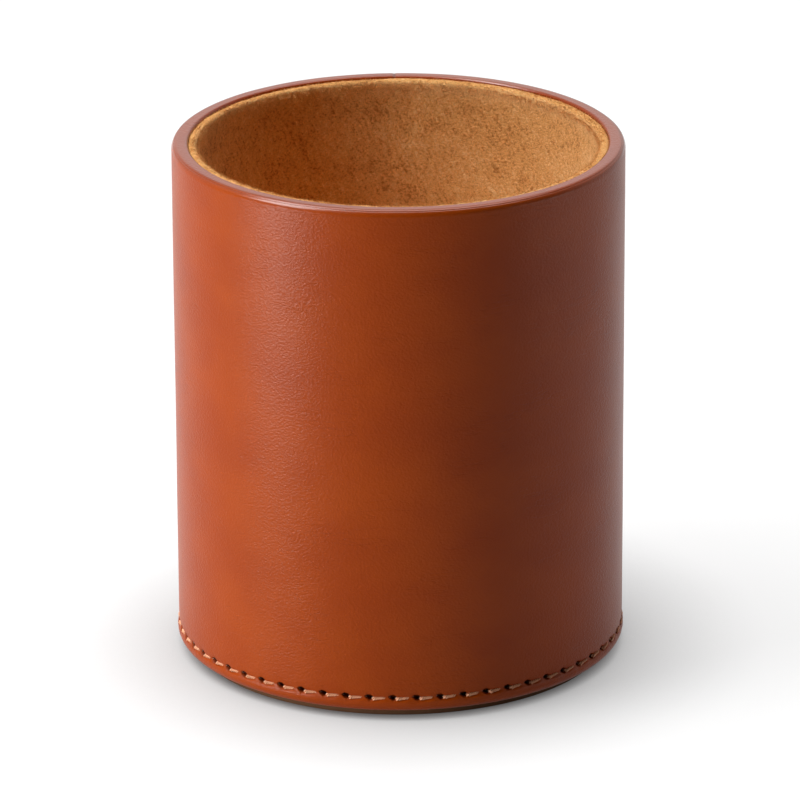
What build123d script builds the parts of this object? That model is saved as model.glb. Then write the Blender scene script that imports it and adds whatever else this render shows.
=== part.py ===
from build123d import *

import os
from math import atan2, cos, degrees, hypot, radians, sin

# Round pencil cup. A stiff board tube is wrapped in one strip of tan leather, which is
# turned over the rim and under the foot and saddle stitched round the foot. A suede
# liner drops in from the top, and a dark leather pad closes the underside.
#
# Millimetres, +Z up. The origin is the centre of the face that the cup rests on, and
# -Y is the side that faces the viewer. Angles are counted from +X, seen from above.

os.makedirs("parts", exist_ok=True)

# Overall size
wall_radius = 42.5  # outside of the leather wall
cup_height = 100.0  # resting face to the top of the rim
glue_gap = 0.05  # glue line between two round surfaces

# Base pad and the leather turned under the foot
pad_inset = 2.7  # in from the outside of the wall
pad_thickness = 1.6
pad_edge_round = 0.25
turn_under_width = 5.0  # measured in from the inside of the wall
turn_under_thickness = 0.8  # pared thin, so that it folds
infill_clearance = 0.2  # gap round the infill card, inside the turned-under leather
board_thickness = 1.2

# Wall leather
wall_leather_thickness = 1.1
foot_stand = 0.25  # how far the foot bulges past the wall, below the stitches
foot_round = 1.8
foot_band = 0.3  # upright part of the bulge
rim_leather_thickness = 0.9  # over the top of the tube
turn_in_thickness = 0.6  # pared thin, inside the rim
turn_in_depth = 10.0
rim_outer_round = 1.3
rim_inner_round = 0.5
crease_angle = 55.0  # creased line's place on the outer round: 0 is at the wall, 90 on top
crease_depth = 0.12
seam_gap = 0.12  # butt seam down the back of the wall

# Board tube inside the wall
core_thickness = 1.3

# Saddle stitching: two threads share every hole
stitch_count = 60  # an even number, because the two threads take turns outside
first_hole_angle = -91.9
thread_diameter = 0.65
thread_bend = 0.45  # radius of a thread's centre line where it dives into a hole
thread_clearance = 0.2  # between the two threads where they cross in a hole
hole_half_run = 0.35  # sideways offset of each thread from the hole's middle
hole_clearance = 0.05
punch_overrun = 1.0
stitch_stand = 0.25  # how far the outer stitches stand out from the wall
groove_clearance = 0.1
inner_leg_clearance = 0.05  # between the tube and the stitches inside it
board_clearance = 0.15  # between the base board and the stitches above it

# Suede liner: a thin card sleeve, faced with suede that is turned over its top edge
liner_clearance = 0.05  # between the rim's turn-in and the liner
suede_thickness = 0.7
suede_turn_down_thickness = 0.3  # pared thin, outside the card
suede_turn_down_depth = 12.0
liner_card_thickness = 0.5
lip_drop = 0.25  # liner's lip below the top of the rim
lip_round = 0.7
lining_seam_gap = 0.1  # butt seam of the lining, inside the front
lining_seam_angle = -90.0

# Floor of the cup: suede on a card disc
floor_suede_thickness = 0.8
floor_side_clearance = 0.25  # between the discs and the stitches round them
floor_stitch_clearance = 0.15  # between the stitches and the liner above them

# Heights of the foot, from the resting face up
under_z = pad_thickness
board_z = under_z + turn_under_thickness
board_top_z = board_z + board_thickness
hole_half_rise = (thread_diameter + thread_clearance) / 2
thread_radius = thread_diameter / 2
stitch_z = board_top_z + board_clearance + thread_radius + hole_half_rise
liner_foot_z = stitch_z + hole_half_rise + thread_radius + floor_stitch_clearance
floor_suede_z = liner_foot_z - floor_suede_thickness

# Radii, from the wall inwards
foot_radius = wall_radius + foot_stand
pad_radius = wall_radius - pad_inset
wall_inner_radius = wall_radius - wall_leather_thickness
turn_under_inner_radius = wall_inner_radius - turn_under_width
core_outer_radius = wall_inner_radius - glue_gap
core_inner_radius = core_outer_radius - core_thickness
turn_in_outer_radius = core_inner_radius - glue_gap
rim_inner_radius = turn_in_outer_radius - turn_in_thickness
liner_outer_radius = rim_inner_radius - liner_clearance
liner_card_outer_radius = liner_outer_radius - suede_turn_down_thickness - glue_gap
liner_card_inner_radius = liner_card_outer_radius - liner_card_thickness
suede_outer_radius = liner_card_inner_radius - glue_gap
suede_inner_radius = suede_outer_radius - suede_thickness

# Heights of the rim
core_top_z = cup_height - rim_leather_thickness
turn_in_foot_z = cup_height - turn_in_depth
lip_z = cup_height - lip_drop
liner_card_top_z = lip_z - suede_thickness
turn_down_foot_z = lip_z - suede_turn_down_depth
crease_radius = wall_radius - rim_outer_round * (1 - cos(radians(crease_angle)))
crease_z = cup_height - rim_outer_round * (1 - sin(radians(crease_angle)))

# Stitching
stitch_pitch = 360 / stitch_count
stitch_radius = wall_radius + stitch_stand - thread_radius
inner_leg_radius = core_inner_radius - inner_leg_clearance - thread_radius
hole_span = 2 * hypot(hole_half_run, hole_half_rise)
hole_slant = degrees(atan2(hole_half_rise, hole_half_run))


def hole_point(hole, radius, side):
    """Point on a thread inside a hole: side 1 is the hole's right and lower end, -1 its left and upper end."""
    across = Vector(radius, side * hole_half_run, stitch_z - side * hole_half_rise)
    return across.rotate(Axis.Z, hole * stitch_pitch)


# The inner stitches cut across the curve of the tube, so their middles come nearest to the axis
inner_leg_middle = (hole_point(0, inner_leg_radius, -1) + hole_point(1, inner_leg_radius, 1)) / 2
floor_radius = (
    hypot(inner_leg_middle.X, inner_leg_middle.Y) - thread_radius - floor_side_clearance
)


# Base pad: dark leather disc under the foot, inset from the wall
with BuildPart() as base_pad:
    with BuildSketch():
        Circle(pad_radius)
    extrude(amount=pad_thickness)
    fillet(base_pad.edges().filter_by(GeomType.CIRCLE), pad_edge_round)
base_pad.part.label = "base_pad"
export_step(base_pad.part, "parts/base_pad.step")


# Infill card: levels the hollow inside the turned-under leather, so that the pad lies flat
with BuildPart() as base_infill:
    with BuildSketch(Plane.XY.offset(under_z)):
        Circle(turn_under_inner_radius - infill_clearance)
    extrude(amount=turn_under_thickness)
base_infill.part.label = "base_infill"
export_step(base_infill.part, "parts/base_infill.step")


# Base board: stiff disc in the foot of the tube
with BuildPart() as base_board:
    with BuildSketch(Plane.XY.offset(board_z)):
        Circle(core_inner_radius - glue_gap)
    extrude(amount=board_thickness)
base_board.part.label = "base_board"
export_step(base_board.part, "parts/base_board.step")


# Slanted slot of the pricking iron, through the wall leather and the tube, at angle 0
with BuildPart() as hole_punch:
    punch_start = core_inner_radius - punch_overrun
    with BuildSketch(Plane(origin=(punch_start, 0, stitch_z), x_dir=(0, 1, 0), z_dir=(1, 0, 0))):
        SlotCenterToCenter(hole_span, thread_diameter + 2 * hole_clearance, rotation=-hole_slant)
    extrude(amount=foot_radius - core_inner_radius + 2 * punch_overrun)


# Core tube: stiff board tube that gives the cup its shape
with BuildPart() as core_tube:
    with BuildSketch(Plane.XY.offset(board_z)):
        Circle(core_outer_radius)
        Circle(core_inner_radius, mode=Mode.SUBTRACT)
    extrude(amount=core_top_z - board_z)
    with PolarLocations(0, stitch_count, start_angle=first_hole_angle):
        add(hole_punch.part, mode=Mode.SUBTRACT)
core_tube.part.label = "core_tube"
export_step(core_tube.part, "parts/core_tube.step")


# Wall leather: one strip, butted at the back, turned over the rim and under the foot
with BuildPart() as wall_leather:
    with BuildSketch(Plane.XZ) as wall_section:
        with BuildLine():
            Polyline(
                (turn_under_inner_radius, under_z),
                (foot_radius, under_z),
                (foot_radius, under_z + foot_round + foot_band),
                (wall_radius, stitch_z),
                (wall_radius, cup_height),
                (rim_inner_radius, cup_height),
                (rim_inner_radius, turn_in_foot_z),
                (turn_in_outer_radius, turn_in_foot_z),
                (turn_in_outer_radius, core_top_z),
                (wall_inner_radius, core_top_z),
                (wall_inner_radius, board_z),
                (turn_under_inner_radius, board_z),
                close=True,
            )
        make_face()
        foot_corner = wall_section.vertices().sort_by_distance((foot_radius, under_z))[0]
        fillet(foot_corner, foot_round)
        rim_outer_corner = wall_section.vertices().sort_by_distance((wall_radius, cup_height))[0]
        fillet(rim_outer_corner, rim_outer_round)
        rim_inner_corner = wall_section.vertices().sort_by_distance((rim_inner_radius, cup_height))[0]
        fillet(rim_inner_corner, rim_inner_round)
        with Locations((crease_radius, crease_z)):
            Circle(crease_depth, mode=Mode.SUBTRACT)
        with Locations((stitch_radius, stitch_z)):
            SlotCenterToCenter(
                2 * hole_half_rise,
                thread_diameter + 2 * groove_clearance,
                rotation=90,
                mode=Mode.SUBTRACT,
            )
    revolve(axis=Axis.Z)
    with PolarLocations(0, stitch_count, start_angle=first_hole_angle):
        add(hole_punch.part, mode=Mode.SUBTRACT)
    # The seam lies halfway between the two holes that are nearest to the back
    seam_angle = first_hole_angle + (stitch_count // 2 + 0.5) * stitch_pitch
    with BuildSketch():
        with PolarLocations((turn_under_inner_radius + foot_radius) / 2, 1, start_angle=seam_angle):
            Rectangle(2 * (foot_radius - turn_under_inner_radius), seam_gap)
    extrude(amount=2 * cup_height, mode=Mode.SUBTRACT)
wall_leather.part.label = "wall_leather"
export_step(wall_leather.part, "parts/wall_leather.step")


# Two stitches of one thread: in the middle of the stitch inside the tube, out through one
# hole, along the groove, in through the next hole and on to the middle of the stitch after it
with BuildPart() as stitch_pair:
    with BuildLine() as stitch_route:
        out_of_hole = hole_point(0, inner_leg_radius, 1)
        into_hole = hole_point(1, inner_leg_radius, -1)
        FilletPolyline(
            (hole_point(-1, inner_leg_radius, -1) + out_of_hole) / 2,
            out_of_hole,
            hole_point(0, stitch_radius, 1),
            hole_point(1, stitch_radius, -1),
            into_hole,
            (into_hole + hole_point(2, inner_leg_radius, 1)) / 2,
            radius=thread_bend,
        )
    with BuildSketch(Plane(origin=stitch_route.line @ 0, z_dir=stitch_route.line % 0)):
        Circle(thread_radius)
    sweep()


# Stitch threads: each is one closed loop through all the holes, and thread b shows on the
# outside where thread a runs inside
thread_starts = {"stitch_thread_a": 0, "stitch_thread_b": 1}
for thread_name, start_hole in thread_starts.items():
    with BuildPart() as stitch_thread:
        start_angle = first_hole_angle + start_hole * stitch_pitch
        with PolarLocations(0, stitch_count // 2, start_angle=start_angle):
            add(stitch_pair.part)
    stitch_thread.part.label = thread_name
    export_step(stitch_thread.part, f"parts/{thread_name}.step")


# Floor card: lifts the floor clear of the stitches inside the tube
with BuildPart() as floor_card:
    with BuildSketch(Plane.XY.offset(board_top_z)):
        Circle(floor_radius)
    extrude(amount=floor_suede_z - board_top_z)
floor_card.part.label = "floor_card"
export_step(floor_card.part, "parts/floor_card.step")


# Floor suede: disc glued to the card, held down by the foot of the liner
with BuildPart() as floor_suede:
    with BuildSketch(Plane.XY.offset(floor_suede_z)):
        Circle(floor_radius)
    extrude(amount=floor_suede_thickness)
floor_suede.part.label = "floor_suede"
export_step(floor_suede.part, "parts/floor_suede.step")


# Liner card: thin sleeve that carries the suede and stands on the floor
with BuildPart() as liner_card:
    with BuildSketch(Plane.XY.offset(liner_foot_z)):
        Circle(liner_card_outer_radius)
        Circle(liner_card_inner_radius, mode=Mode.SUBTRACT)
    extrude(amount=liner_card_top_z - liner_foot_z)
liner_card.part.label = "liner_card"
export_step(liner_card.part, "parts/liner_card.step")


# Lining suede: faces the card, rolls over its top edge and is turned down outside it
with BuildPart() as lining_suede:
    with BuildSketch(Plane.XZ) as lining_section:
        with BuildLine():
            Polyline(
                (suede_inner_radius, liner_foot_z),
                (suede_outer_radius, liner_foot_z),
                (suede_outer_radius, liner_card_top_z),
                (liner_card_outer_radius + glue_gap, liner_card_top_z),
                (liner_card_outer_radius + glue_gap, turn_down_foot_z),
                (liner_outer_radius, turn_down_foot_z),
                (liner_outer_radius, lip_z),
                (suede_inner_radius, lip_z),
                close=True,
            )
        make_face()
        for lip_radius in (liner_outer_radius, suede_inner_radius):
            lip_corner = lining_section.vertices().sort_by_distance((lip_radius, lip_z))[0]
            fillet(lip_corner, lip_round)
    revolve(axis=Axis.Z)
    with BuildSketch():
        with PolarLocations(suede_inner_radius, 1, start_angle=lining_seam_angle):
            Rectangle(4 * (liner_outer_radius - suede_inner_radius), lining_seam_gap)
    extrude(amount=2 * cup_height, mode=Mode.SUBTRACT)
lining_suede.part.label = "lining_suede"
export_step(lining_suede.part, "parts/lining_suede.step")
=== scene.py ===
import bpy
import numpy as np
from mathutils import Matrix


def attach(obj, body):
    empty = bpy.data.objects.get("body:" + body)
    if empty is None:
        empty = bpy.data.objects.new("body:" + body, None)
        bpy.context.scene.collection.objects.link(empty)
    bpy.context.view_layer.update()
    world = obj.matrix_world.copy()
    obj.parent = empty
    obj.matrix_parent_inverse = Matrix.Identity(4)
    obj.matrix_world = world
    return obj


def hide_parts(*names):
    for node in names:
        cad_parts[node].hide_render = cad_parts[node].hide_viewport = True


# Round leather pencil cup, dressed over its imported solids. Metres, +Z up: -Y is the side
# that the camera sees, and the wall's seam is at the back. Angles are counted from +X.
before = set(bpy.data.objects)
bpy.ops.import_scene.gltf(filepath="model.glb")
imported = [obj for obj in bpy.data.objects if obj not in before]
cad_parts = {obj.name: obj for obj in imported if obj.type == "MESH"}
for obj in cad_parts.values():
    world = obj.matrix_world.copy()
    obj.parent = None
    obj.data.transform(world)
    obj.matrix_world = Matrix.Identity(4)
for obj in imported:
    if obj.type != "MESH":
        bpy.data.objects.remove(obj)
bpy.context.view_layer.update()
mm = 0.001


# Camera: a long lens, 1.25 m from the cup, that looks 20 degrees down on it and so sees
# the whole rim and the top of the lining at the back. It is rolled a quarter of a degree.
camera_pitch = np.radians(20.25)
camera_distance = 1.247
camera_side = 0.08 * mm
camera_aim = 48.0 * mm
camera_roll = 0.00444
camera_sensor, camera_lens = 36, 295.6  # in millimetres, as on a real camera

camera_data = bpy.data.cameras.new("camera")
camera_data.sensor_width = camera_sensor
camera_data.lens = camera_lens
camera_data.clip_end = 20
camera = bpy.data.objects.new("camera", camera_data)
camera.location = (
    camera_side,
    -camera_distance * np.cos(camera_pitch),
    camera_aim + camera_distance * np.sin(camera_pitch),
)
camera.rotation_euler = (
    np.pi / 2 - camera_pitch,
    camera_roll * np.cos(camera_pitch),
    -camera_roll * np.sin(camera_pitch),
)
bpy.context.scene.collection.objects.link(camera)
bpy.context.scene.camera = camera
bpy.context.scene.view_settings.view_transform = "Standard"


# Board tube and discs: dense grey board, rolled into the tube that makes the cup round, with
# a stiff disc in its foot and an infill card below. The solids stay, and get the board's finish.
board_colour = (0.35, 0.3, 0.24)
board_fleck_colour = (0.22, 0.18, 0.14)
board_fibre = 1.2 * mm
board_relief = 0.05 * mm


class Shade:
    """A number or colour that varies over a surface: a node's socket. Sums add Math nodes."""

    def __init__(self, finish, socket):
        self.finish = finish
        self.socket = socket

    def math(self, operation, first, second=0.0):
        return self.finish.node("ShaderNodeMath", {"operation": operation}, {0: first, 1: second})

    def __add__(self, other):
        return self.math("ADD", self, other)

    def __sub__(self, other):
        return self.math("SUBTRACT", self, other)

    def __rsub__(self, other):
        return self.math("SUBTRACT", other, self)

    def __mul__(self, other):
        return self.math("MULTIPLY", self, other)

    def __abs__(self):
        return self.math("ABSOLUTE", self)

    __radd__ = __add__
    __rmul__ = __mul__

    def rise(self, low, high):
        """0 below low, 1 above high, and between them three times the square of the share of
        the way, less twice its cube."""
        return self.finish.node(
            "ShaderNodeMapRange",
            {"interpolation_type": "SMOOTHSTEP"},
            {"Value": self, "From Min": low, "From Max": high},
        )


class Finish:
    """Nodes of a material or of the world."""

    def __init__(self, owner):
        self.owner = owner
        owner.use_nodes = True
        self.tree = owner.node_tree
        self.tree.nodes.clear()

    def node(self, kind, settings=None, sockets=None, output=0):
        """Adds a node: its settings come first, then the values or links of its sockets."""
        made = self.tree.nodes.new(kind)
        for setting, value in (settings or {}).items():
            setattr(made, setting, value)
        for name, value in (sockets or {}).items():
            if isinstance(value, Shade):
                self.tree.links.new(value.socket, made.inputs[name])
            else:
                made.inputs[name].default_value = value
        return Shade(self, made.outputs[output]) if made.outputs else None

    def spot(self, size, turn=(0, 0, 0)):
        """Place on the piece, counted in steps of size metres along x, y and z."""
        place = self.node("ShaderNodeTexCoord", output="Object")
        turned = self.node("ShaderNodeMapping", {}, {"Vector": place, "Rotation": turn})
        return self.node(
            "ShaderNodeMapping", {}, {"Vector": turned, "Scale": [1 / step for step in size]}
        )

    def cloud(self, size, detail=2.0, turn=(0, 0, 0), rough=0.5):
        """Noise from 0 to 1, in clouds that are size metres across along x, y and z."""
        return self.node(
            "ShaderNodeTexNoise",
            {},
            {"Vector": self.spot(size, turn), "Scale": 1.0, "Detail": detail, "Roughness": rough},
        )

    def blend(self, mask, start, end):
        """Colour that goes from start to end as mask goes from 0 to 1."""
        start, end = (c if isinstance(c, Shade) else (*c, 1.0) for c in (start, end))
        return self.node(
            "ShaderNodeMix", {"data_type": "RGBA"}, {0: mask, 6: start, 7: end}, output=2
        )

    def scaled(self, colour, factor):
        """Colour made darker or lighter by a factor."""
        return self.node(
            "ShaderNodeVectorMath", {"operation": "SCALE"}, {0: colour, "Scale": factor}
        )

    def surface(self, relief, height, **sockets):
        """Ends the material. Its relief, from 0 to 1, stands up to height metres high."""
        normal = self.node(
            "ShaderNodeBump", {}, {"Strength": 1.0, "Distance": height, "Height": relief}
        )
        sockets = {name.replace("_", " "): value for name, value in sockets.items()}
        shader = self.node("ShaderNodeBsdfPrincipled", {}, {"Normal": normal, **sockets})
        self.node("ShaderNodeOutputMaterial", {}, {"Surface": shader})
        return self.owner


def board_finish(name, colour, fleck_colour):
    """Board or card: matt, with short fibres and darker flecks."""
    finish = Finish(bpy.data.materials.new(name))
    fibres = finish.cloud([board_fibre, board_fibre, board_fibre / 4], detail=4.0)
    flecks = finish.cloud([board_fibre / 2] * 3).rise(0.6, 0.75)
    return finish.surface(
        fibres,
        board_relief,
        Base_Color=finish.blend(0.5 * fibres + 0.5 * flecks, colour, fleck_colour),
        Roughness=0.9,
    )


grey_board = board_finish("grey_board", board_colour, board_fleck_colour)
for name in ("core_tube", "base_board", "base_infill"):
    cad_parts[name].material_slots[0].material = grey_board


# Wall leather: one strip of waxed tan cowhide, glued round the tube and butted at the back.
# It is pared, turned over the rim and under the foot, creased with a hot iron along the
# rim's shoulder, and pulled in by the stitches, which bulge the foot below them.
wall_radius = 42.5 * mm
cup_height = 100 * mm
foot_stand = 0.25 * mm
foot_round = 1.8 * mm
under_z = 1.6 * mm
under_inner_radius = 36.4 * mm
under_top_z = 2.4 * mm
wall_inner_radius = 41.4 * mm
rim_outer_round = 1.3 * mm
rim_inner_round = 0.5 * mm
rim_inner_radius = 39.4 * mm
turn_in_radius = 40.0 * mm
turn_in_foot_z = 90 * mm
tube_top_z = 99.1 * mm
burnish_foot_z = 98.9 * mm  # the rim is burnished from here up, and fully from the next value
burnish_full_z = 99.4 * mm
wave_size, wave_depth = 14 * mm, 0.022 * mm
ripple_size, ripple_depth = 5 * mm, 0.012 * mm
crease_angle = 55  # degrees on the rim's outer round: 0 is at the wall, 90 on top
crease_width = 3.6
crease_depth = 0.06 * mm
welt_offset, welt_width = 9, 5  # degrees from the crease, on both sides of it
welt_stand = 0.006 * mm
seam_gap = 0.02 * mm
seam_round_width = 0.16 * mm
seam_round_depth = 0.09 * mm
stitch_count = 60
stitch_z = 4.5 * mm
first_hole = np.radians(-91.9)
stitch_pitch = 2 * np.pi / stitch_count
hole_lift = 0.06 * mm  # the open part of a hole lies above the row, and the threads fill the rest
hole_width = 1.62 * mm
hole_height = 1.05 * mm
hole_depth = 1.0 * mm
hole_slant = 0.22
hole_power = 1.4  # 1 would be a diamond, 2 an ellipse
hole_slope = (0.75, 1.1)  # shares of the hole's reach between which its wall slopes
brim_stand = 0.07 * mm  # the leather pushed up below a hole
brim_reach, brim_width = 1.35, 0.25
pucker_depth, pucker_width, pucker_height = 0.09 * mm, 1.0 * mm, 1.1 * mm
row_depth, row_height = 0.06 * mm, 0.9 * mm
hole_painted_shade_share, hole_shade_width, hole_shade_height = 0.22, 1.1 * mm, 0.7 * mm  # painted shade round a hole
crease_painted_shade, seam_painted_shade = 0.15, 0.6
thread_drop = 0.05 * mm  # the outer threads lie this far below the row at their middle
thread_rise = 0.2 * mm  # and climb by as much again on each side of it
thread_climb = 2.5  # how steeply, so that the ends of a stitch lie level
groove_depth, groove_height = 0.18 * mm, 0.42 * mm
groove_end = (0.4, 0.75)  # shares of a stitch between which its groove runs out
grain_size = [0.46 * mm, 0.46 * mm, 0.38 * mm]
grain_relief = 0.1 * mm
pore_size = [0.16 * mm] * 3
mottle_size = [16 * mm, 16 * mm, 11 * mm]
drift_size = [45 * mm, 45 * mm, 30 * mm]
wrinkle_size = [8 * mm, 8 * mm, 1.5 * mm]
wrinkle_patch_size = [14 * mm, 14 * mm, 9 * mm]
wrinkle_shade, recess_shade = 0.08, 0.95
tan_colour = (0.29, 0.041, 0.001)
tan_pale_colour = (0.32, 0.05, 0.0018)
tan_dark_colour = (0.26, 0.034, 0.0007)
tan_painted_shade_colour = (0.03, 0.004, 0.0015)


def skin(name, rings, ring_closes, section_closes=True):
    """Mesh of a skin that runs through rings of points, one ring after another.

    Two rings with as many points are joined by four-sided faces, a ring with four times the
    points by one face for each wide column, and a ring of one point, at a pole, by triangles.
    The two ends of open rings get one face each. All the faces are turned round where the skin's
    volume, a sixth of the sum of the triple products of its triangles' corners, isn't positive.
    """
    starts = np.cumsum([0] + [len(ring) for ring in rings])
    loops = []
    for start, ring in zip(starts, rings):
        loop = start + np.arange(len(ring))
        loops.append(np.append(loop, start) if ring_closes and len(ring) > 1 else loop)
    pairs = list(zip(loops, loops[1:]))
    if section_closes:
        pairs.append((loops[-1], loops[0]))
    groups = []
    for low, high in pairs:
        if len(low) == 1:
            groups.append(np.stack([high[1:], high[:-1], np.full(len(high) - 1, low[0])], 1))
        elif len(high) == 1:
            groups.append(np.stack([low[:-1], low[1:], np.full(len(low) - 1, high[0])], 1))
        elif len(low) == len(high):
            groups.append(np.stack([low[:-1], low[1:], high[1:], high[:-1]], 1))
        elif len(low) < len(high):
            fine = [high[step : len(high) - 4 + step : 4] for step in (4, 3, 2, 1, 0)]
            groups.append(np.stack([low[:-1], low[1:], *fine], 1))
        else:
            fine = [low[step : len(low) - 4 + step : 4] for step in (0, 1, 2, 3, 4)]
            groups.append(np.stack([*fine, high[1:], high[:-1]], 1))
    if not ring_closes:
        groups.append(np.array([[loop[0] for loop in loops]]))
        groups.append(np.array([[loop[-1] for loop in loops[::-1]]]))
    points = np.concatenate(rings)
    volume = sum(
        np.einsum("ij,ij->", points[g[:, 0]], np.cross(points[g[:, k]], points[g[:, k + 1]]))
        for g in groups
        for k in range(1, g.shape[1] - 1)
    )
    if volume <= 0:
        groups = [group[:, ::-1] for group in groups]
    faces = [face for group in groups for face in group.tolist()]
    mesh = bpy.data.meshes.new(name)
    mesh.from_pydata(points, [], faces)
    mesh.polygons.foreach_set("use_smooth", np.ones(len(faces), bool))
    return mesh


def mark(mesh, name, values):
    """Stores one number for each point of a mesh, for its material to read."""
    mesh.attributes.new(name, "FLOAT", "POINT").data.foreach_set("value", values.ravel())


def arc(radius, height, bend, angles):
    """Points and outward directions of a round: its middle plus the bend's radius times the
    cosine and sine of the angle. The angles are in degrees: 0 is outwards and 90 upwards."""
    turn = np.radians(angles)
    facing = np.stack([np.cos(turn), np.sin(turn)], 1)
    return np.array([radius, height]) + bend * facing, facing


def run(start, end, steps, facing):
    """Points of a straight stretch, evenly spaced with both ends included, and the direction
    that it faces."""
    along = np.linspace(0, 1, steps)[:, None]
    return (1 - along) * start + along * np.array(end), np.tile(np.float64(facing), (steps, 1))


def smooth(low, high, value):
    """0 below low, 1 above high, and between them three times the square of the share of the
    way, less twice its cube."""
    share = np.clip((value - low) / (high - low), 0, 1)
    return share * share * (3 - 2 * share)


def clouds(points, size, seed):
    """Smooth random numbers between -1 and 1 at points in space: the blend, with an S-shaped
    weight, of the random numbers at the eight corners of the point's cell of a lattice."""
    table = np.random.default_rng(seed).uniform(-1, 1, (64, 64, 64))
    cell = np.floor(points / size).astype(int)
    part = points / size - cell
    part = part * part * (3 - 2 * part)
    value = 0
    for corner in np.ndindex(2, 2, 2):
        weight = np.where(corner, part, 1 - part).prod(-1)
        value = value + weight * table[tuple(np.moveaxis((cell + corner) % 64, -1, 0))]
    return value


def turned(angles, section):
    """Points at every angle round the axis for every (radius, height) of a section: the radius
    times the angle's cosine and sine, and the height."""
    radius, height = section[:, None, 0], section[:, None, 1]
    height = height + 0 * angles
    return np.stack([radius * np.cos(angles), radius * np.sin(angles), height], -1)


def hole_offset(angles):
    """Distance along the wall from the nearest hole, to the right as seen from outside: what
    is left of the angle after whole steps from the first hole, times the wall's radius."""
    steps = (angles - first_hole) / stitch_pitch
    return (steps - np.round(steps)) * stitch_pitch * wall_radius


def thread_place(across):
    """Height of the outer thread over the row at a distance from the nearest hole, and how far it
    has got to the next, from 0 to 1: it leaves a hole at its lower right and climbs evenly to
    the left of the next."""
    part = across / (stitch_pitch * wall_radius)
    part = np.where(part < 0, part + 1, part)
    return thread_rise * np.clip(thread_climb * (part - 0.5), -1, 1) - thread_drop, part


def wall_relief(angles, section):
    """How far the outside of the wall leather stands out from its plain section, and how much
    painted shade each point gets, from 0 to 1: in the holes, round them, in the crease and along
    the seam.

    The sum of: slow waves of the hide and ripples on them, the puckers round the holes, the dip
    along the row, the groove under the outer threads, the holes as slanted pits between a
    diamond and an ellipse, the brims below them, the crease with a faint welt on both sides of
    it, and the rounded edges of the seam. All but the waves and the holes are bell curves: e to
    the power of minus the square of a distance over a width.
    """
    height = section[:, None, 1]
    spots = turned(angles, section)
    waves = wave_depth * clouds(spots, wave_size, 1) + ripple_depth * clouds(spots, ripple_size, 2)
    across = hole_offset(angles) + 0 * height
    over = height - stitch_z
    pucker = np.exp(-((across / pucker_width) ** 2) - (over / pucker_height) ** 2)
    row = row_depth * np.exp(-((over / row_height) ** 2))
    thread_over, part = thread_place(across)
    groove = groove_depth * (1 - smooth(*groove_end, part))
    groove = groove * np.exp(-(((over - thread_over) / groove_height) ** 2))
    up = over - hole_lift + hole_slant * across
    wide, high = np.abs(across / (hole_width / 2)), np.abs(up / (hole_height / 2))
    reach = (wide**hole_power + high**hole_power) ** (1 / hole_power)
    hole = 1 - smooth(*hole_slope, reach)
    brim = brim_stand * np.exp(-(((reach - brim_reach) / brim_width) ** 2)) * (over < 0)
    above_bend = height - (cup_height - rim_outer_round)
    past_bend = section[:, None, 0] - (wall_radius - rim_outer_round)
    rise = np.where(above_bend < 0, 0, np.degrees(np.arctan2(above_bend, past_bend)))
    crease = np.exp(-(((rise - crease_angle) / crease_width) ** 2))
    welt = np.exp(-(((np.abs(rise - crease_angle) - welt_offset) / welt_width) ** 2))
    from_seam = np.minimum(angles - angles[0], angles[-1] - angles) * wall_radius
    seam = np.exp(-((from_seam / seam_round_width) ** 2))
    stand = waves - pucker_depth * pucker - row - groove * (1 - hole) + brim - hole_depth * hole
    stand = stand - crease_depth * crease + welt_stand * welt * (rise > 0) - seam_round_depth * seam
    hole_painted_shade = np.exp(-((over / hole_shade_height) ** 2) - (across / hole_shade_width) ** 2)
    # painted shade: the holes, the leather round them, the crease and the seam's edges are darkened
    # in colour
    recess = hole + crease_painted_shade * crease * (rise > 0) + seam_painted_shade * seam + hole_painted_shade_share * hole_painted_shade
    return stand, np.clip(recess, 0, 1)


# Columns: six to a stitch and closer together at the holes, and four times as many in the band
# of the stitches. The strip's two ends meet at the back, halfway between two holes.
seam_angle = first_hole + (stitch_count // 2 + 0.5) * stitch_pitch
column_steps = (np.arange(stitch_count)[:, None] + [0.1, 0.3, 0.43, 0.57, 0.7, 0.9]).ravel()
seam_step = seam_gap / 2 / wall_radius / stitch_pitch
edge_steps = np.array([seam_step, 3.5 * seam_step])
column_steps = np.concatenate([edge_steps, column_steps, stitch_count - edge_steps[::-1]])
wide_angles = seam_angle + stitch_pitch * column_steps
fine_angles = np.interp(
    np.arange(4 * len(wide_angles) - 3) / 4, np.arange(len(wide_angles)), wide_angles
)

# Rings: from under the foot up the outside, over the rim and down the inside. They lie closer
# together in the band of the stitches and at the crease.
foot_radius = wall_radius + foot_stand
under_edge = foot_radius - foot_round
foot_round_angles = np.linspace(-82, 0, 11)
foot_edge_z = (3.5 * mm, 3.6 * mm)
band_foot_z = 3.7 * mm
bulge_top_z = 4.6 * mm
band_top_z = 6.0 * mm
plain_foot_z = 6.3 * mm
plain_top_z = 97.9 * mm
crease_angles = [42, 46, 49, 51.5, 53.5, 55, 56.5, 58.5, 61, 64, 68]
rim_outer_angles = [-10, 0, 10, 20, 29, 36, *crease_angles, 73, 80, 90]
rim_inner_angles = [90, 112, 135, 158, 180]
rim_flat = ([40.9 * mm, cup_height], [40.1 * mm, cup_height])
turn_in_top_z = 98.5 * mm
outwards, upwards, downwards, hidden = [1, 0], [0, 1], [0, -1], [0, 0]
outer_bend = (wall_radius - rim_outer_round, cup_height - rim_outer_round, rim_outer_round)
inner_bend = (rim_inner_radius + rim_inner_round, cup_height - rim_inner_round, rim_inner_round)
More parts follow.
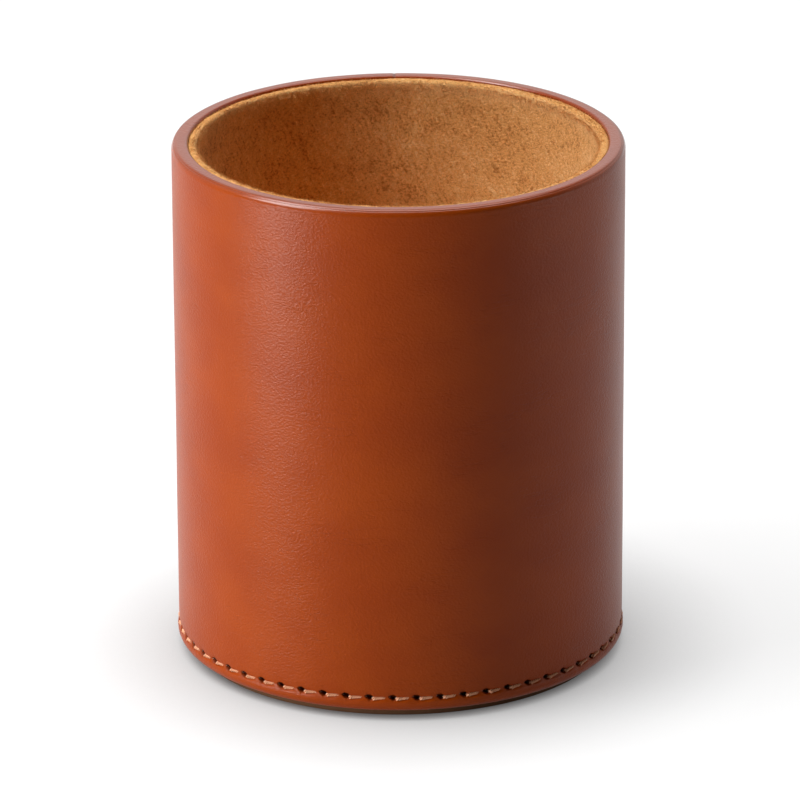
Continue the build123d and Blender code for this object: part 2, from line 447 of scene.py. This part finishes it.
stretches = [
    (wide_angles, *run([under_inner_radius, under_z], [under_edge, under_z], 5, downwards)),
    (wide_angles, *arc(under_edge, under_z + foot_round, foot_round, foot_round_angles)),
    (wide_angles, *run([foot_radius, foot_edge_z[0]], [foot_radius, foot_edge_z[1]], 2, outwards)),
    (fine_angles, *run([foot_radius, band_foot_z], [wall_radius, band_top_z], 22, outwards)),
    (wide_angles, *run([wall_radius, plain_foot_z], [wall_radius, plain_top_z], 84, outwards)),
    (wide_angles, *arc(*outer_bend, rim_outer_angles)),
    (wide_angles, *run(*rim_flat, 4, upwards)),
    (wide_angles, *arc(*inner_bend, rim_inner_angles)),
]
inside_corners = [
    ([rim_inner_radius, turn_in_top_z], [rim_inner_radius, turn_in_foot_z], 4),
    ([turn_in_radius, turn_in_foot_z], [turn_in_radius, tube_top_z], 3),
    ([wall_inner_radius, tube_top_z], [wall_inner_radius, under_top_z], 4),
    ([under_inner_radius, under_top_z], [under_inner_radius, under_top_z], 1),
]
for start, end, steps in inside_corners:
    stretches.append((wide_angles, *run(start, end, steps, hidden)))
rings = []
recesses = []
shines = []
for angles, section, facing in stretches:
    # The foot's bulge fades into the wall in the lower half of the stitched band
    if angles is fine_angles:
        bulge = 1 - smooth(band_foot_z, bulge_top_z, section[:, 1])
        section[:, 0] = wall_radius + foot_stand * bulge
    stand, recess = wall_relief(angles, section)
    burnish = smooth(burnish_foot_z, burnish_full_z, section[:, 1])
    shown = np.abs(facing).sum(1)[:, None] > 0
    points = turned(angles, section)
    out = turned(angles, facing)
    rings.extend(points + out * np.where(shown, stand, 0)[..., None])
    recesses.extend(recess * shown)
    shines.append(np.repeat(burnish, len(angles)))
wall_mesh = skin("wall_leather_skin", rings, ring_closes=False)
mark(wall_mesh, "recess", np.concatenate(recesses))
mark(wall_mesh, "shine", np.concatenate(shines))

leather = Finish(bpy.data.materials.new("tan_leather"))
recess = leather.node("ShaderNodeAttribute", {"attribute_name": "recess"}, output=2)
shine = leather.node("ShaderNodeAttribute", {"attribute_name": "shine"}, output=2)
mottle = leather.cloud(mottle_size, detail=4.0)
drift = leather.cloud(drift_size, detail=2.0)
pebble = leather.node(
    "ShaderNodeTexVoronoi",
    {"feature": "SMOOTH_F1"},
    {"Vector": leather.spot(grain_size), "Scale": 1.0, "Smoothness": 0.6},
)
pores = leather.cloud(pore_size, detail=2.0)
wrinkle_line = abs(leather.cloud(wrinkle_size, detail=2.0) - 0.5)
wrinkled = leather.cloud(wrinkle_patch_size).rise(0.5, 0.62)
wrinkle = (1 - wrinkle_line.rise(0.0, 0.02)) * wrinkled
colour = leather.blend(mottle.rise(0.3, 0.7), tan_dark_colour, tan_pale_colour)
colour = leather.blend(0.5, colour, tan_colour)
colour = leather.scaled(colour, 0.96 + 0.08 * drift)
colour = leather.scaled(colour, 1 - wrinkle_shade * wrinkle)
# painted shade: the recess mark darkens the colour towards near-black in the holes, round them, in
# the crease and at the seam
colour = leather.blend(recess * recess_shade, colour, tan_painted_shade_colour)
relief = 0.45 * pebble + 0.3 * pores + 0.25 * (1 - wrinkle)
leather_material = leather.surface(
    relief,
    grain_relief,
    Base_Color=colour,
    Roughness=0.3 + 0.08 * pores + 0.35 * recess,
    Specular_IOR_Level=0.14,
    Coat_Weight=shine,
    Coat_Roughness=0.2,
)
wall_mesh.materials.append(leather_material)
wall_piece = bpy.data.objects.new("wall_leather_skin", wall_mesh)
bpy.context.scene.collection.objects.link(wall_piece)
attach(wall_piece, "root")
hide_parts("wall_leather")


# Stitch threads: two waxed threads, each of three twisted plies, that take turns on the
# outside. Each leaves a hole fat at its lower right, is pulled into the leather along the row,
# and sinks into the next hole at its upper left.
thread_radius = 0.33 * mm
thread_stand = 0.26 * mm  # how far a stitch stands out from the wall where it leaves its hole
thread_sink = 0.42 * mm  # how much lower it lies where it sinks in again
inner_leg_radius = 39.675 * mm
hole_half_run = 0.45 * mm  # the legs of the two threads in a hole lie apart, and spread outside
hole_half_spread = 0.32 * mm
spread_start = 0.3  # share of the swing from inside to outside at which they begin to spread
dive = 3.5  # how square the thread turns into a hole
fat_share, fat_phase, fat_spread = 0.2, -48, 22  # phases in degrees, 0 in a stitch's middle
slim_share, slim_phases = 0.12, (-35, -5)
first_sink, first_sink_phases = 0.32, (-50, -15)
last_sink, last_sink_phases = 0.68, (0, 34)
hole_shade_reach = 0.3 * mm  # painted shade on the thread is darkest from this far under the leather's surface
ply_lay = 1.35 * mm  # length of one turn of the twist
ply_count = 3
ply_sides = 6
ply_offset, ply_radius = 0.56, 0.45  # shares of the thread's half thickness
rings_per_pair = 96
ring_bunching = 0.5
thread_relief = 0.02 * mm
wax_size = [1.6 * mm] * 3
strand_size = [0.12 * mm, 0.12 * mm, 0.05 * mm]
thread_colour = (0.8, 0.4, 0.23)
thread_dark_colour = (0.52, 0.22, 0.11)
thread_painted_shade_colour = (0.05, 0.012, 0.006)


def thread_path(start):
    """Middle of one closed thread, its half thickness at each ring, and how much painted shade it
    gets there, from 0 to 1, which grows as it sinks under the leather's surface.

    A full turn of phase takes the thread through two stitches, one outside and one inside. The
    radius swings between the outside and the inside as the tanh of the phase's cosine, which is
    nearly square, and the outside sinks from the stitch's start to its end. The angle runs twice
    as fast in the middle of a stitch as on average and stands still in a hole, and the height and
    the sideways offset follow the phase's sine. Rings are set closer together outside, where the
    phase is near zero.
    """
    step = np.arange(stitch_count // 2 * rings_per_pair) / rings_per_pair
    step = step - ring_bunching * np.sin(2 * np.pi * step) / (2 * np.pi)
    phase = 2 * np.pi * step
    along = (np.degrees(phase) + 180) % 360 - 180
    fat = fat_share * np.exp(-(((along - fat_phase) / fat_spread) ** 2))
    half_thickness = thread_radius * (1 + fat - slim_share * smooth(*slim_phases, along))
    sunk = first_sink * smooth(*first_sink_phases, along)
    sunk = sunk + last_sink * smooth(*last_sink_phases, along)
    outer = wall_radius + thread_stand - thread_sink * sunk - half_thickness
    swing = np.tanh(dive * np.cos(phase)) / np.tanh(dive)
    radius = (outer + inner_leg_radius) / 2 + (outer - inner_leg_radius) / 2 * swing
    turn = 2 * stitch_pitch * (step + np.sin(2 * phase) / (4 * np.pi))
    aside = hole_half_run + hole_half_spread * smooth(spread_start, 1, swing)
    angle = start + turn - aside / radius * np.sin(phase)
    height = stitch_z - thread_drop + thread_rise * np.sin(phase)
    path = np.stack([radius * np.cos(angle), radius * np.sin(angle), height], 1)
    thread_hole_shade = smooth(0, hole_shade_reach, wall_radius - radius - half_thickness)
    return path, half_thickness, thread_hole_shade


def twisted(path, half_thickness):
    """Rings of points of the plies, one closed tube for each, laid round a closed path.

    Each ply's middle turns round the path once for every lay of its length, a little more than
    half the thread's half thickness away from it, and a whole number of times round the loop.
    """
    ahead = np.roll(path, -1, 0) - path
    length = np.linalg.norm(ahead, axis=1)
    tangent = np.roll(path, -1, 0) - np.roll(path, 1, 0)
    tangent /= np.linalg.norm(tangent, axis=1)[:, None]
    side = np.cross(tangent, [0, 0, 1])
    side /= np.linalg.norm(side, axis=1)[:, None]
    over = np.cross(side, tangent)
    gone = np.cumsum(length) - length
    twist = 2 * np.pi * gone * round(length.sum() / ply_lay) / length.sum()
    plies = []
    for ply in range(ply_count):
        place = (twist + 2 * np.pi * ply / ply_count)[:, None]
        away = np.cos(place) * side + np.sin(place) * over
        middle = path + ply_offset * half_thickness[:, None] * away
        round_ply = (place + 2 * np.pi * np.arange(ply_sides) / ply_sides)[..., None]
        facing = np.cos(round_ply) * side[:, None] + np.sin(round_ply) * over[:, None]
        plies.append(middle[:, None] + ply_radius * half_thickness[:, None, None] * facing)
    return plies


def joined(name, parts):
    """One mesh from several closed tubes, each a grid of rings by points."""
    faces = []
    count = 0
    for part in parts:
        grid = count + np.arange(part.shape[0] * part.shape[1]).reshape(part.shape[:2])
        right, up = np.roll(grid, -1, 1), np.roll(grid, -1, 0)
        faces.append(np.stack([grid, up, np.roll(right, -1, 0), right], -1).reshape(-1, 4))
        count += grid.size
    mesh = bpy.data.meshes.new(name)
    points = np.concatenate([part.reshape(-1, 3) for part in parts])
    mesh.from_pydata(points, [], np.concatenate(faces).tolist())
    mesh.polygons.foreach_set("use_smooth", np.ones(len(mesh.polygons), bool))
    return mesh


thread = Finish(bpy.data.materials.new("waxed_thread"))
wax = thread.cloud(wax_size, detail=3.0)
strands = thread.cloud(strand_size, detail=2.0)
thread_hole_shade = thread.node("ShaderNodeAttribute", {"attribute_name": "thread_hole_shade"}, output=2)
colour = thread.blend(0.4 * wax + 0.3 * strands, thread_colour, thread_dark_colour)
thread_material = thread.surface(
    strands,
    thread_relief,
    # painted shade: the thread is darkened where it runs under the leather, into the holes
    Base_Color=thread.blend(thread_hole_shade, colour, thread_painted_shade_colour),
    Roughness=0.45 + 0.2 * wax,
    Specular_IOR_Level=0.5,
)
for name, start in (("stitch_thread_a", 0.5), ("stitch_thread_b", 1.5)):
    path, half_thickness, thread_hole_shade = thread_path(first_hole + start * stitch_pitch)
    plies = twisted(path, half_thickness)
    thread_mesh = joined(name + "_plies", plies)
    mark(thread_mesh, "thread_hole_shade", np.tile(np.repeat(thread_hole_shade, ply_sides), ply_count))
    thread_mesh.materials.append(thread_material)
    thread_piece = bpy.data.objects.new(name + "_plies", thread_mesh)
    bpy.context.scene.collection.objects.link(thread_piece)
    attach(thread_piece, "root")
    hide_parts(name)


# Base pad: a disc of dark brown leather, glued under the foot with its grain side down. Its cut
# edge is burnished, and is all that shows from above.
pad_radius = 39.8 * mm
pad_thickness = 1.6 * mm
pad_round = 0.25 * mm
pad_edge_radius = 39.5 * mm  # the cut edge is trimmed and sags outside this
pad_trim = 0.04 * mm
pad_sag_depth, pad_sag_size = 0.03 * mm, 3 * mm
pad_dent_depth, pad_dent_size = 0.02 * mm, 1 * mm
pad_relief = 0.06 * mm
pad_mottle_size = [5 * mm] * 3
pad_grain_size = [0.5 * mm] * 3
pad_fibre_size = [1.5 * mm, 1.5 * mm, 0.15 * mm]
pad_column_count = 360
pad_colour = (0.085, 0.038, 0.018)
pad_pale_colour = (0.15, 0.075, 0.038)

pad_angles = np.linspace(0, 2 * np.pi, pad_column_count, endpoint=False)
pad_steps = np.array([0.02, 0.15, 0.3, 0.45, 0.6, 0.75, 0.88, 0.96])
pad_section = np.concatenate(
    [
        np.stack([pad_steps * pad_radius, 0 * pad_steps], 1),
        arc(pad_radius - pad_round, pad_round, pad_round, [-90, -65, -40, -20, 0])[0],
        arc(pad_radius - pad_round, pad_thickness - pad_round, pad_round, [0, 20, 40, 65, 90])[0],
        np.stack([pad_steps[::-1] * pad_radius, 0 * pad_steps + pad_thickness], 1),
    ]
)
pad_rings = turned(pad_angles, pad_section)
pad_sag = pad_sag_depth * clouds(pad_rings, pad_sag_size, 5)
pad_sag = pad_sag + pad_dent_depth * clouds(pad_rings, pad_dent_size, 6)
pad_edge = smooth(pad_edge_radius, pad_radius, pad_section[:, 0])[:, None]
pad_out = turned(pad_angles, np.array([[1.0, 0]]))
pad_rings = pad_rings - pad_out * (pad_trim + pad_sag * pad_edge)[..., None] * pad_edge[..., None]
pad_poles = [np.array([[0, 0, 0]]), np.array([[0, 0, pad_thickness]])]
pad_mesh = skin("base_pad_leather", [pad_poles[0], *pad_rings, pad_poles[1]], True, False)

pad = Finish(bpy.data.materials.new("dark_leather"))
pad_mottle = pad.cloud(pad_mottle_size, detail=4.0)
pad_grain = pad.node(
    "ShaderNodeTexVoronoi",
    {"feature": "SMOOTH_F1"},
    {"Vector": pad.spot(pad_grain_size), "Scale": 1.0, "Smoothness": 0.5},
)
pad_fibres = pad.cloud(pad_fibre_size, detail=3.0)
pad_material = pad.surface(
    0.6 * pad_grain + 0.4 * pad_fibres,
    pad_relief,
    Base_Color=pad.blend(0.6 * pad_mottle + 0.4 * pad_fibres, pad_colour, pad_pale_colour),
    Roughness=0.75 + 0.2 * pad_mottle,
    Specular_IOR_Level=0.1,
)
pad_mesh.materials.append(pad_material)
pad_piece = bpy.data.objects.new("base_pad_leather", pad_mesh)
bpy.context.scene.collection.objects.link(pad_piece)
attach(pad_piece, "root")
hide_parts("base_pad")


# Cards of the floor and of the liner: thin uncoated card that the suede is glued to. The
# solids stay, and get the card's finish.
card_colour = (0.5, 0.42, 0.32)
card_fleck_colour = (0.36, 0.29, 0.21)

card = board_finish("liner_card", card_colour, card_fleck_colour)
for name in ("floor_card", "liner_card"):
    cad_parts[name].material_slots[0].material = card


# Floor suede: a disc of the lining's suede, nap up, glued to the floor card before the liner is
# pushed in on top of it.
floor_suede_radius = 39.03 * mm
floor_suede_foot_z = 4.6 * mm
floor_suede_top_z = 5.4 * mm
floor_suede_side_z = 5 * mm
floor_press_radius = 37.0 * mm  # outside this the liner presses the nap flat
floor_nap_depth, floor_nap_size = 0.05 * mm, 6 * mm
floor_tuft_depth, floor_tuft_size = 0.05 * mm, 1.6 * mm
floor_nap_drop = 0.1 * mm
floor_column_count = 240
floor_ring_count = 64
suede_relief = 0.45 * mm
suede_patch_size = [9 * mm, 9 * mm, 6 * mm]
suede_clump_size = [0.55 * mm, 0.55 * mm, 0.45 * mm]
suede_brush_size = [0.6 * mm, 1.2 * mm, 2.6 * mm]
suede_brush_turn = (0, 0.5, 0)  # the marks slant by half a radian
suede_fibre_size = [0.2 * mm] * 3
suede_colour = (0.79, 0.395, 0.127)
suede_pale_colour = (0.93, 0.57, 0.25)
suede_dark_colour = (0.46, 0.185, 0.046)
suede_sheen_colour = (0.95, 0.6, 0.32)

floor_angles = np.linspace(0, 2 * np.pi, floor_column_count, endpoint=False)
floor_steps = np.linspace(0.012, 1, floor_ring_count)
foot_steps = floor_steps[::-9]
floor_section = np.concatenate(
    [
        np.stack([floor_steps * floor_suede_radius, 0 * floor_steps + floor_suede_top_z], 1),
        np.stack([foot_steps * floor_suede_radius, 0 * foot_steps + floor_suede_foot_z], 1),
    ]
)
floor_rings = turned(floor_angles, floor_section)
floor_nap = floor_nap_depth * clouds(floor_rings, floor_nap_size, 7)
floor_nap = floor_nap + floor_tuft_depth * clouds(floor_rings, floor_tuft_size, 8) - floor_nap_drop
inside = floor_section[:, :1] < floor_press_radius
inside = inside & (floor_section[:, 1:] > floor_suede_side_z)
floor_rings[..., 2] += np.where(inside, floor_nap, 0)
floor_top = np.array([[0, 0, floor_suede_top_z - floor_nap_drop]])
floor_foot = np.array([[0, 0, floor_suede_foot_z]])
floor_mesh = skin("floor_suede_nap", [floor_top, *floor_rings, floor_foot], True, False)


def suede_finish(name):
    """Brushed suede: the nap lies in patches that catch the light or not, painted as paler and
    darker colour, in fine clumps and in slanting brush marks, and its fibres glow where the light
    grazes them. It is painted paler, as painted light, where a piece is marked for it."""
    suede = Finish(bpy.data.materials.new(name))
    patches = suede.cloud(suede_patch_size, detail=3.0)
    clumps = suede.cloud(suede_clump_size, detail=3.0, rough=0.6)
    brushed = suede.cloud(suede_brush_size, detail=2.0, turn=suede_brush_turn)
    fibres = suede.cloud(suede_fibre_size, detail=2.0)
    painted_lip_light = suede.node("ShaderNodeAttribute", {"attribute_name": "painted_lip_light"}, output=2)
    # painted light and shade: nap that lies so as to catch the light is painted paler, the rest
    # darker
    lie = 0.25 * patches + 0.5 * clumps + 0.25 * brushed
    colour = suede.blend(lie.rise(0.36, 0.5), suede_dark_colour, suede_colour)
    colour = suede.blend(lie.rise(0.5, 0.64), colour, suede_pale_colour)
    colour = suede.blend(painted_lip_light, colour, suede_pale_colour)
    return suede.surface(
        0.5 * clumps + 0.2 * brushed + 0.3 * fibres,
        suede_relief,
        Base_Color=suede.scaled(colour, 0.5 + fibres),
        Roughness=0.95,
        Specular_IOR_Level=0.1,
        Sheen_Weight=0.5,
        Sheen_Roughness=0.45,
        Sheen_Tint=(*suede_sheen_colour, 1.0),
    )


suede_material = suede_finish("suede")
floor_mesh.materials.append(suede_material)
floor_piece = bpy.data.objects.new("floor_suede_nap", floor_mesh)
bpy.context.scene.collection.objects.link(floor_piece)
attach(floor_piece, "root")
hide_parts("floor_suede")


# Lining suede: one strip of honey-brown suede that faces the liner card, rolls over its top edge
# and is turned down outside it. The liner drops in from the top, with its seam at the front, and
# the nap just below the roll is painted paler, as painted light.
suede_inner_radius = 37.75 * mm
suede_outer_radius = 38.45 * mm
turn_down_inner_radius = 39.05 * mm
turn_down_outer_radius = 39.35 * mm
lining_foot_z = 5.4 * mm
lip_z = 99.57 * mm
lip_round = 0.7 * mm
lip_outer_round = 0.35 * mm
card_top_z = 99.05 * mm
turn_down_foot_z = 87.75 * mm
lining_column_count = 512
lining_seam_gap = 0.1 * mm
lining_seam_angle = np.radians(-90)
lining_seam_width, lining_seam_depth = 0.3 * mm, 0.15 * mm
lining_low_top_z = 69 * mm  # the camera sees the lining above this, where its rings lie closer
lining_high_foot_z = 69.5 * mm
lining_high_top_z = 98.8 * mm
turn_down_top_z = 98 * mm
nap_wave_depth, nap_wave_size = 0.06 * mm, 7 * mm
nap_fold_depth, nap_fold_size = 0.06 * mm, 2.2 * mm
nap_tuft_depth, nap_tuft_size = 0.05 * mm, 0.95 * mm
nap_drawing = [1, 1, 0.6]  # folds and tufts are drawn out up and down
# painted light: the lining is painted paler between these heights, just below the roll, by this
# share
painted_light_foot_z, painted_light_full_z = 95.5 * mm, 98.8 * mm
painted_light_end_z, painted_light_top_z = 99.0 * mm, 99.5 * mm
painted_light_share = 0.5

lining_edge = lining_seam_gap / 2 / suede_inner_radius
lining_edges = np.array([4 * lining_edge, lining_edge])
lining_columns = np.linspace(0, 2 * np.pi, lining_column_count + 1)[1:-1]
lining_angles = lining_seam_angle + np.concatenate(
    [lining_edges[::-1], lining_columns, 2 * np.pi - lining_edges]
)
inwards = [-1, 0]
lip_inner_angles = [180, 162, 144, 126, 108, 90]
lip_outer_angles = [80, 60, 40, 20, 0]
lip_inner_bend = (suede_inner_radius + lip_round, lip_z - lip_round, lip_round)
lip_outer_bend = (
    turn_down_outer_radius - lip_outer_round,
    lip_z - lip_outer_round,
    lip_outer_round,
)
lining_face = [
    ([suede_inner_radius, lining_foot_z], [suede_inner_radius, lining_low_top_z], 50),
    ([suede_inner_radius, lining_high_foot_z], [suede_inner_radius, lining_high_top_z], 66),
]
lining_back = [
    ([turn_down_outer_radius, turn_down_top_z], [turn_down_outer_radius, turn_down_foot_z], 4),
    ([turn_down_inner_radius, turn_down_foot_z], [turn_down_inner_radius, card_top_z], 3),
    ([suede_outer_radius, card_top_z], [suede_outer_radius, lining_foot_z], 4),
]
lining_stretches = [
    *[run(start, end, steps, inwards) for start, end, steps in lining_face],
    arc(*lip_inner_bend, lip_inner_angles),
    arc(*lip_outer_bend, lip_outer_angles),
    *[run(start, end, steps, hidden) for start, end, steps in lining_back],
]
from_seam = np.minimum(lining_angles - lining_angles[0], lining_angles[-1] - lining_angles)
lining_seam = np.exp(-((from_seam * suede_inner_radius / lining_seam_width) ** 2))
lining_rings = []
for section, facing in lining_stretches:
    points = turned(lining_angles, section)
    drawn_out = points * nap_drawing
    nap = (
        nap_wave_depth * clouds(points, nap_wave_size, 11)
        + nap_fold_depth * clouds(drawn_out, nap_fold_size, 12)
        + nap_tuft_depth * clouds(drawn_out, nap_tuft_size, 13)
    )
    nap = nap - lining_seam_depth * lining_seam
    lining_rings.extend(points + turned(lining_angles, facing) * nap[..., None])
lining_mesh = skin("lining_suede_nap", lining_rings, ring_closes=False)
lining_z = np.concatenate(lining_rings)[:, 2]
# painted light: a paler band just below the roll
painted_lip_light = smooth(painted_light_foot_z, painted_light_full_z, lining_z) * (1 - smooth(painted_light_end_z, painted_light_top_z, lining_z))
mark(lining_mesh, "painted_lip_light", painted_light_share * painted_lip_light)
lining_mesh.materials.append(suede_material)
lining_piece = bpy.data.objects.new("lining_suede_nap", lining_mesh)
bpy.context.scene.collection.objects.link(lining_piece)
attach(lining_piece, "root")
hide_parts("lining_suede")


# Loose nap: short fibres that stand out of the suede's lip and of the lining just below it,
# where the roll opens the nap. Each is a long thin pyramid, cut off level with the rim.
fibre_count = 9000
fibre_length = 1.15 * mm
fibre_lengths = (0.45, 1.15)  # shares of that length
fibre_width = 0.11 * mm
lip_leans, lip_lean_spread = (15, 165), 14  # degrees: 0 is outwards, 90 upwards, 180 inwards
upright_cut = 0.55  # share by which a fibre that stands straight up is shorter
root_run, root_rise = 0.62 * mm, 0.55 * mm  # half width and height of the roll under the roots
inward_share = 0.35  # of the fibres grow below the roll, and are shorter
inward_leans = (140, 250)
inward_length = 0.7
inward_drop = 0.45 * mm
inward_sink = 0.05 * mm
side_spread = 0.45
corner_count = 3

chance = np.random.default_rng(21)
fibre_turn = chance.uniform(0, 2 * np.pi, fibre_count)
fibre_lean = chance.uniform(*lip_leans, fibre_count)
fibre_lean = np.radians(fibre_lean + chance.normal(0, lip_lean_spread, fibre_count))
fibre_drop = chance.exponential(inward_drop, fibre_count)
fibre_drop = fibre_drop * (chance.random(fibre_count) < inward_share)
fibre_out = np.stack([np.cos(fibre_turn), np.sin(fibre_turn), 0 * fibre_turn], 1)
fibre_side = np.cross([0, 0, 1], fibre_out)
lip_middle = (suede_inner_radius + turn_down_outer_radius) / 2
fibre_root = fibre_out * (lip_middle + root_run * np.cos(fibre_lean))[:, None]
fibre_root[:, 2] = lip_z - root_run + root_rise * np.sin(fibre_lean)
inward = fibre_drop > 0
fibre_root[inward] = fibre_out[inward] * (suede_inner_radius + inward_sink)
fibre_root[inward, 2] = lip_z - lip_round - fibre_drop[inward]
inward_lean = np.radians(chance.uniform(*inward_leans, fibre_count))
fibre_lean = np.where(inward, inward_lean, fibre_lean)
fibre_cut = np.where(inward, inward_length, 1 - upright_cut * np.sin(fibre_lean))
reach = fibre_length * chance.uniform(*fibre_lengths, fibre_count) * fibre_cut
fibre_way = fibre_out * np.cos(fibre_lean)[:, None] + [0, 0, 1] * np.sin(fibre_lean)[:, None]
fibre_way = fibre_way + fibre_side * chance.normal(0, side_spread, fibre_count)[:, None]
fibre_way /= np.linalg.norm(fibre_way, axis=1)[:, None]
fibre_flat = np.cross(fibre_way, fibre_side)
fibre_flat /= np.linalg.norm(fibre_flat, axis=1)[:, None]
fibre_cross = np.cross(fibre_way, fibre_flat)
corners = []
for corner in range(corner_count):
    turn = 2 * np.pi * corner / corner_count
    across = np.cos(turn) * fibre_flat + np.sin(turn) * fibre_cross
    corners.append(fibre_root + fibre_width / 2 * across)
corners.append(fibre_root + fibre_way * reach[:, None])
fibre_points = np.stack(corners, 1)
fibre_points[..., 2] = np.minimum(fibre_points[..., 2], cup_height)
fibre_faces = np.array([[0, 1, 3], [1, 2, 3], [2, 0, 3], [0, 2, 1]])
fibre_faces = fibre_faces + len(corners) * np.arange(fibre_count)[:, None, None]
nap_mesh = bpy.data.meshes.new("lining_lip_nap")
nap_mesh.from_pydata(fibre_points.reshape(-1, 3), [], fibre_faces.reshape(-1, 3).tolist())
nap_mesh.materials.append(suede_material)
nap_piece = bpy.data.objects.new("lining_lip_nap", nap_mesh)
bpy.context.scene.collection.objects.link(nap_piece)
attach(nap_piece, "root")


# Floor of the studio: a pale sheet under and far round the cup. It takes the cup's shadow, and
# glows only where it is looked at or mirrored, so that it shows white and lights nothing. Its glow
# is dimmed near the cup's foot, where the cup hides the floor's surroundings: a painted contact
# shadow.
floor_reach = 4.0
floor_colour = (0.27, 0.27, 0.27)
floor_bounce_colour = (0.45, 0.44, 0.43)
floor_glow_colour = (0.77, 0.77, 0.77)
painted_shadow_reach = 30 * mm  # painted contact shadow: the glow is dimmed within this distance of the cup
floor_mottle, floor_relief = [0.4, 0.4, 0.4], 0.05 * mm

floor_corners = floor_reach * np.array([[-1, -1, 0], [1, -1, 0], [1, 1, 0], [-1, 1, 0]])
studio_mesh = bpy.data.meshes.new("studio_floor")
studio_mesh.from_pydata(floor_corners, [], [[0, 1, 2, 3]])
studio = Finish(bpy.data.materials.new("studio_floor"))
sight = studio.node("ShaderNodeLightPath", output="Is Camera Ray")
gloss = studio.node("ShaderNodeLightPath", output="Is Glossy Ray")
clear = studio.node("ShaderNodeLightPath", output="Is Transmission Ray")
seen = sight + gloss + clear
painted_shadow_occlusion = studio.node("ShaderNodeAmbientOcclusion", {}, {"Distance": painted_shadow_reach}, output=1)
studio_mesh.materials.append(
    studio.surface(
        studio.cloud(floor_mottle),
        floor_relief,
        Base_Color=studio.blend(seen, floor_bounce_colour, floor_colour),
        # painted contact shadow: the glow is dimmed where the cup hides the floor's surroundings
        Emission_Color=studio.blend(seen * painted_shadow_occlusion, (0, 0, 0), floor_glow_colour),
        Emission_Strength=1.0,
        Roughness=0.9,
        Specular_IOR_Level=0.1,
    )
)
studio_floor = bpy.data.objects.new("studio_floor", studio_mesh)
bpy.context.scene.collection.objects.link(studio_floor)


# Light: a bright strip just above the floor at the front left, soft boxes higher up at the left
# and above the back, a card low at the right, one low behind that the rim mirrors, and a pale
# backdrop behind, which fades towards the top.
backdrop_strength = 0.4
backdrop_edge = (-0.1, 0.5)  # how far to the back it begins and is full, as a share of the way
backdrop_top = (0.35, 0.9)  # how far up it begins to fade and is gone


def soft_box(name, azimuth, elevation, distance, width, height, radiance):
    """Area light that faces the cup. Azimuth is counted in degrees from the camera's side to the
    right, and elevation from the cup's middle. The lengths are in metres, and the power is four
    times the light's area times its radiance."""
    turn, rise = np.radians([azimuth, elevation])
    way = np.array([np.sin(turn) * np.cos(rise), -np.cos(turn) * np.cos(rise), np.sin(rise)])
    light = bpy.data.lights.new(name, "AREA")
    light.shape = "RECTANGLE"
    light.size = width
    light.size_y = height
    light.energy = 4 * width * height * radiance
    lamp = bpy.data.objects.new(name, light)
    lamp.location = way * distance + np.array([0, 0, cup_height / 2])
    lamp.rotation_euler = (np.pi / 2 - rise, 0, turn)
    lamp.visible_camera = False
    bpy.context.scene.collection.objects.link(lamp)


soft_box("strip_low", -60, -3, 0.42, 0.14, 0.05, 48)
soft_box("soft_box_left", -70, 44, 0.9, 0.4, 0.35, 7.3)
soft_box("soft_box_high_left", -90, 65, 1.0, 0.38, 0.38, 8.0)
soft_box("soft_box_back", 180, 70, 1.0, 0.8, 0.6, 2.4)
soft_box("card_right", 80, -2, 0.6, 0.4, 0.08, 4.8)
soft_box("card_back", 180, 22, 1.0, 0.7, 0.3, 0.35)

world = Finish(bpy.data.worlds.new("studio"))
bpy.context.scene.world = world.owner
sky = world.node("ShaderNodeTexCoord", output="Generated")
sky_back = world.node("ShaderNodeSeparateXYZ", {}, {0: sky}, output=1)
sky_up = world.node("ShaderNodeSeparateXYZ", {}, {0: sky}, output=2)
backdrop = sky_back.rise(*backdrop_edge) * (1 - sky_up.rise(*backdrop_top))
strength = backdrop_strength * backdrop
glow = world.node("ShaderNodeBackground", {}, {"Color": (1, 1, 1, 1), "Strength": strength})
world.node("ShaderNodeOutputWorld", {}, {"Surface": glow})
